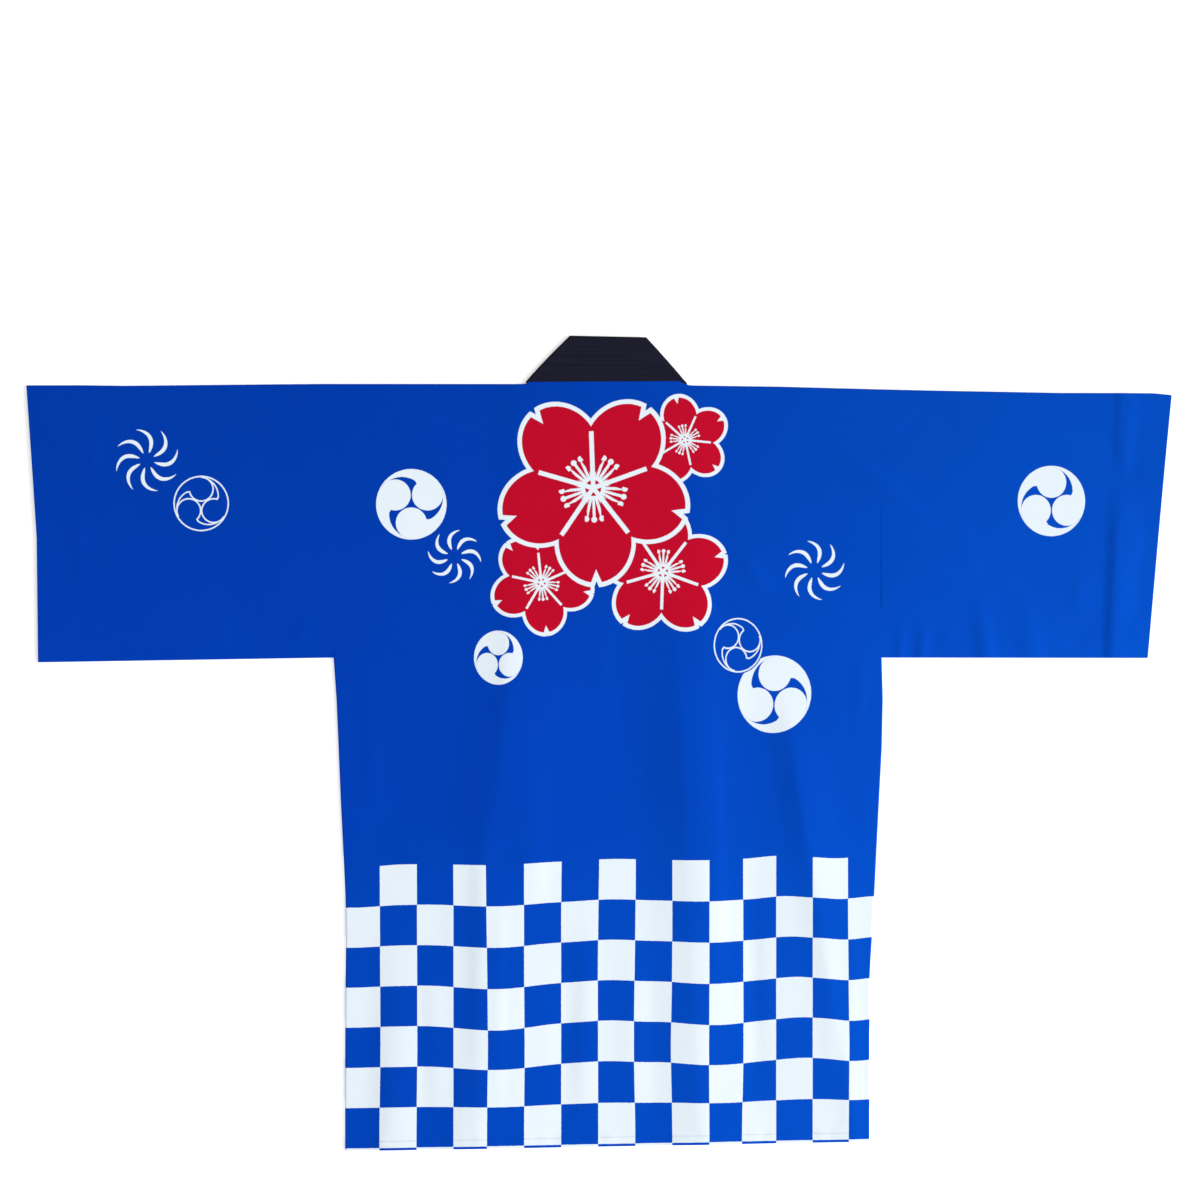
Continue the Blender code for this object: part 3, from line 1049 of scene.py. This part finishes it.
# Cottons
# dyes of the print and thread, and painted light and shade on the blue
dyesAndPaintedLight = {
    # painted light: the blue in two copies, darker on the left away from the light and lighter on
    # the right towards it
    "blueShadedLeft": (0.0006, 0.045, 0.44),
    "blueLitRight": (0.001, 0.0725, 0.543),
    "fade": (-330.0, 720.0),  # painted light: the blue is lighter to the right, where the light comes from
    "hemPaintedLight": (440.0, 640.0, 0.30),  # painted light: and lighter again from here to here down, by this share
    # the white is darker by this share wherever the painted light makes the blue lighter
    "whiteDimming": 0.06,
    "paintedTopShade": (0.0, 420.0, 0.11),  # painted shade: the blue is darker along the shoulders
    "white": (0.787, 0.872, 0.942),
    "red": (0.505, 0.0008, 0.016),
    "black": (0.01, 0.0098, 0.02),
    "threadBlue": (0.001, 0.04, 0.36),
    "threadBlack": (0.006, 0.006, 0.012),
}
crests = {  # in the order of crestValues
    "left": ((-455.1, -133.3, 30.3, 1.0, 60, 1, 1.6),),
    "back": (
        (-219.7, -134.2, 39.5, 1.0, 0, 1, 0),
        (-122.2, -305.9, 27.3, 1.107, 60, 1, 0),
        (187.6, -347.2, 41.4, 1.054, 60, -1, 0),
        (146.2, -292.1, 26.6, 1.12, -8, 1, 1.45),
    ),
    "right": ((497.2, -130.5, 37.7, 1.045, 60, 1, 0),),
}
swirls = {
    "left": ((-515.8, -84.9, 8.6, 36.4, 73.5, 36, 2.3),),
    "back": (
        (-171.3, -192.8, 8.2, 30.3, 113, -34, 2.2),
        (232.0, -208.2, 8.6, 34.0, 70, 34, 2.3),
    ),
    "right": (),
}
emblem = (  # the last lies on the others
    (87, -62, 48, 102, 3.9),
    (-74, -222, 56, 60, 4.0),
    (62, -210, 70, 16, 4.4),
    (-16, -116, 106, 128, 5.0),
)
blueCotton = {
    "roughness": 0.80,
    "specular": 0.14,
    "tint": (0.0, 0.40, 1.0),
    "bump": 0.35,
    "bumpDeep": 0.00012,
    "weave": {"Thread": 0.52, "Slub": 0.10, "Cloud": 0.10},
    "bleed": 0.7,  # how far the print's edges wander
    "bleedSize": 0.55,
    "whiteTone": 0.35,  # share of the weave's tone that the white shows
}
darkCotton = {
    "roughness": 0.8,
    "specular": 0.10,
    "tint": (0.5, 0.5, 0.8),
    "bump": 0.4,
    "bumpDeep": 0.00015,
    "weave": {"Thread": 0.45, "Slub": 0.25, "Cloud": 0.2},
    "streak": (0.006, 0.30),  # along the band and across it
}
sewingThread = {"roughness": 0.6, "specular": 0.2, "tint": (0.5, 0.6, 1.0), "twist": 900.0}
sheen = {"Sheen Weight": 0.04, "Sheen Roughness": 0.5}


def setSockets(shader, values):
    for label, value in values.items():
        shader.inputs[label].default_value = value


def startMaterial(name, finish):
    made = bpy.data.materials.new(name)
    made.use_nodes = True
    tree = made.node_tree
    shader = tree.nodes["Principled BSDF"]
    tint = (*finish["tint"], 1)
    values = {"Roughness": finish["roughness"], "Specular IOR Level": finish["specular"]}
    setSockets(shader, {**values, "Specular Tint": tint, "Sheen Tint": tint, **sheen})
    return made, tree, shader


def startCotton(name, finish):
    # the point on the flat cut, and the weave there
    made, tree, shader = startMaterial(name, finish)
    flat = node(tree, "ShaderNodeAttribute", attribute_name="flatCut", output=1)
    weave = useGroup(tree, weaveGroup, {"Point": flat, **finish["weave"]})
    return made, tree, shader, flat, weave


def finishCotton(tree, shader, finish, base, height):
    values = {"Strength": finish["bump"], "Distance": finish["bumpDeep"], "Height": height}
    plug(tree, shader.inputs["Base Color"], base)
    plug(tree, shader.inputs["Normal"], node(tree, "ShaderNodeBump", values))


def colour(tree, shade, tone):
    # a colour scaled by a tone: the cloth's own, and on the blue and the white also painted light
    # and shade
    return vectorMath(tree, "SCALE", shade, tone)


def motif(tree, group, inked, labels, row):
    values = dict(zip(labels, row))
    for label in {"Turn", "Start", "Sweep"} & set(labels):
        values[label] = math.radians(values[label])
    return useGroup(tree, group, {"Point": inked, **values})


def over(white, mask):
    return mask if white is None else white.most(mask)


def printedCotton(name, side, columnStart=None):
    made, tree, shader, flat, weave = startCotton(name, blueCotton)
    waver = noise(tree, flat, blueCotton["bleedSize"], output=1)
    shaken = vectorMath(tree, "SUBTRACT", waver, (0.5, 0.5, 0.5))
    shaken = vectorMath(tree, "SCALE", shaken, blueCotton["bleed"])
    inked = vectorMath(tree, "ADD", flat, shaken)
    white = None
    for row in crests.get(side, ()):
        crest = motif(tree, crestGroup, inked, crestValues, row)
        if white is not None:
            white = white * (1.0 - crest["Clear"])
        white = over(white, crest["Mask"])
    for row in swirls.get(side, ()):
        white = over(white, motif(tree, swirlGroup, inked, swirlValues, row)["Mask"])
    across, upwards, underside = split(tree, flat)
    if white is not None:
        white = white * (1.0 - underside)
    if columnStart is not None:
        values = {"Column": check["column"], "Row": check["row"]}
        values.update({"Column Start": columnStart, "Row Start": check["rowStart"]})
        white = over(white, useGroup(tree, checkGroup, {"Point": inked, **values})["Mask"])
    # painted light: this share makes the blue lighter to the right and towards the hem, and the
    # white a little darker
    faded = smooth(tree, across, *dyesAndPaintedLight["fade"], 1.0)
    # painted light: lighter again towards the hem
    faded = faded + smooth(tree, -upwards, *dyesAndPaintedLight["hemPaintedLight"])
    # the weave's own tone, with painted shade along the shoulders
    toneAndTopShade = weave["Tone"] - dyesAndPaintedLight["paintedTopShade"][2] + smooth(tree, -upwards, *dyesAndPaintedLight["paintedTopShade"])
    shadedBlue = colour(tree, dyesAndPaintedLight["blueShadedLeft"], toneAndTopShade)
    blue = mix(tree, faded, shadedBlue, colour(tree, dyesAndPaintedLight["blueLitRight"], toneAndTopShade))
    bright = (weave["Tone"] - 1.0) * blueCotton["whiteTone"] + 1.0
    # the white, darker where the blue is painted lighter
    pale = colour(tree, dyesAndPaintedLight["white"], bright - faded * dyesAndPaintedLight["whiteDimming"])
    base = mix(tree, white, blue, pale) if white is not None else blue
    if side == "back":
        red = colour(tree, dyesAndPaintedLight["red"], weave["Tone"])
        for row in emblem:
            layers = motif(tree, blossomGroup, inked, emblemValues, row)
            base = mix(tree, layers["Body"], base, pale)
            base = mix(tree, layers["Red"], base, red)
    finishCotton(tree, shader, blueCotton, base, weave["Height"])
    return made


def blackCotton():
    made, tree, shader, flat, weave = startCotton("blackCotton", darkCotton)
    x, y, z = split(tree, flat)
    along, aside = darkCotton["streak"]
    streak = noise(tree, joined(tree, x * along, y * aside, z), 1.0)
    base = colour(tree, dyesAndPaintedLight["black"], weave["Tone"] * (streak * 0.9 + 0.55))
    finishCotton(tree, shader, darkCotton, base, weave["Height"] + streak * 1.5)
    return made


def threadMaterial(name, shade):
    made, tree, shader = startMaterial(name, sewingThread)
    spot = node(tree, "ShaderNodeTexCoord", output=3)
    twist = noise(tree, spot, sewingThread["twist"])
    plug(tree, shader.inputs["Base Color"], colour(tree, shade, twist * 0.5 + 0.75))
    return made


backCotton = printedCotton("backCotton", "back", check["columnStart"])
frontCotton = printedCotton("frontCotton", "front", check["frontStart"])
sleeveCottons = {side: printedCotton(side + "SleeveCotton", side) for side in signOf}
bandCotton = blackCotton()
blueThread = threadMaterial("blueThread", dyesAndPaintedLight["threadBlue"])
blackThread = threadMaterial("blackThread", dyesAndPaintedLight["threadBlack"])
print("cottons made")

# Making
back = backPiece(backCotton)
fronts = {side: frontPiece(side, frontCotton) for side in signOf}
sleeves = {side: sleevePiece(side, sleeveCottons[side]) for side in signOf}
collar = bandPiece(bandCotton)
backStitches = stitchRun("back_hem_stitches", backHemWay(), blueThread)
frontStitches, cuffStitches = {}, {}
for side in signOf:
    frontStitches[side] = stitchRun("front_hem_stitches_" + side, frontHemWay(side), blueThread)
    cuffStitches[side] = stitchRun("cuff_stitches_" + side, cuffWay(side), blueThread)
collarStitches = stitchRun("collar_stitches", bandWay(), blackThread)

for piece, name in (
    (back, "back"), (fronts["left"], "front_left"), (fronts["right"], "front_right"),
    (sleeves["left"], "sleeve_left"), (sleeves["right"], "sleeve_right"),
):
    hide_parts(name)
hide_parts("collar")

# Floor, light and camera
studio = {
    "floorSize": 30.0,
    "floor": {
        "Base Color": (0.93, 0.93, 0.93, 1),
        "Roughness": 0.9,
        "Specular IOR Level": 0.1,
        "Emission Color": (1, 1, 1, 1),
        "Emission Strength": 0.40,
    },
    "world": {"Color": (1, 1, 1, 1), "Strength": 0.48},
    "sun": 4.2,
    "sunHigh": 18.0,
    "sunTurn": -6.0,  # degrees from straight right, towards the shoulders
    "sunSoft": 28.0,
    "sidePower": 14.0,
    "sideSize": 1.2,
    "sideAt": (1.3, -0.8, 1.6),  # metres from the coat's middle
    "middle": (100, -300),
}
view = {"centre": (-8.4, -241.4), "width": 1344.0, "coatTop": 3, "lens": 100.0, "sensor": 36.0}

bm = bmesh.new()
bmesh.ops.create_grid(bm, x_segments=1, y_segments=1, size=studio["floorSize"])
floorMesh = bpy.data.meshes.new("floor")
bm.to_mesh(floorMesh)
bm.free()
floor = inScene("floor", floorMesh)
paper = bpy.data.materials.new("paleFloor")
paper.use_nodes = True
setSockets(paper.node_tree.nodes["Principled BSDF"], studio["floor"])
floorMesh.materials.append(paper)

world = bpy.data.worlds.new("studio")
bpy.context.scene.world = world
world.use_nodes = True
setSockets(world.node_tree.nodes["Background"], studio["world"])


def light(name, kind, power, way):
    made = inScene(name, bpy.data.lights.new(name, kind))
    made.data.energy = power
    made.rotation_euler = (-way).to_track_quat("-Z", "Y").to_euler()
    return made


middleX, middleY = studio["middle"]
coatMiddle = Vector((centreLine + middleX, shoulderLine + middleY, 0)) * mm
sideWay = Vector(studio["sideAt"])
sideLight = light("side", "AREA", studio["sidePower"], sideWay)
sideLight.data.size = studio["sideSize"]
sideLight.location = coatMiddle + sideWay
high, turn = math.radians(studio["sunHigh"]), math.radians(studio["sunTurn"])
toSun = (math.cos(high) * math.cos(turn), math.cos(high) * math.sin(turn), math.sin(high))
sun = light("key", "SUN", studio["sun"], Vector(toSun))
sun.data.angle = math.radians(studio["sunSoft"])

camera = inScene("camera", bpy.data.cameras.new("camera"))
camera.data.lens, camera.data.sensor_width = view["lens"], view["sensor"]
camera.data.clip_start, camera.data.clip_end = 0.05, 20.0
distance = view["width"] * view["lens"] / view["sensor"]
lookX, lookY = view["centre"]
top = distance + view["coatTop"]
camera.location = Vector((centreLine + lookX, shoulderLine + lookY, top)) * mm
bpy.context.scene.camera = camera
bpy.context.scene.view_settings.view_transform = "Standard"
print("studio ready")
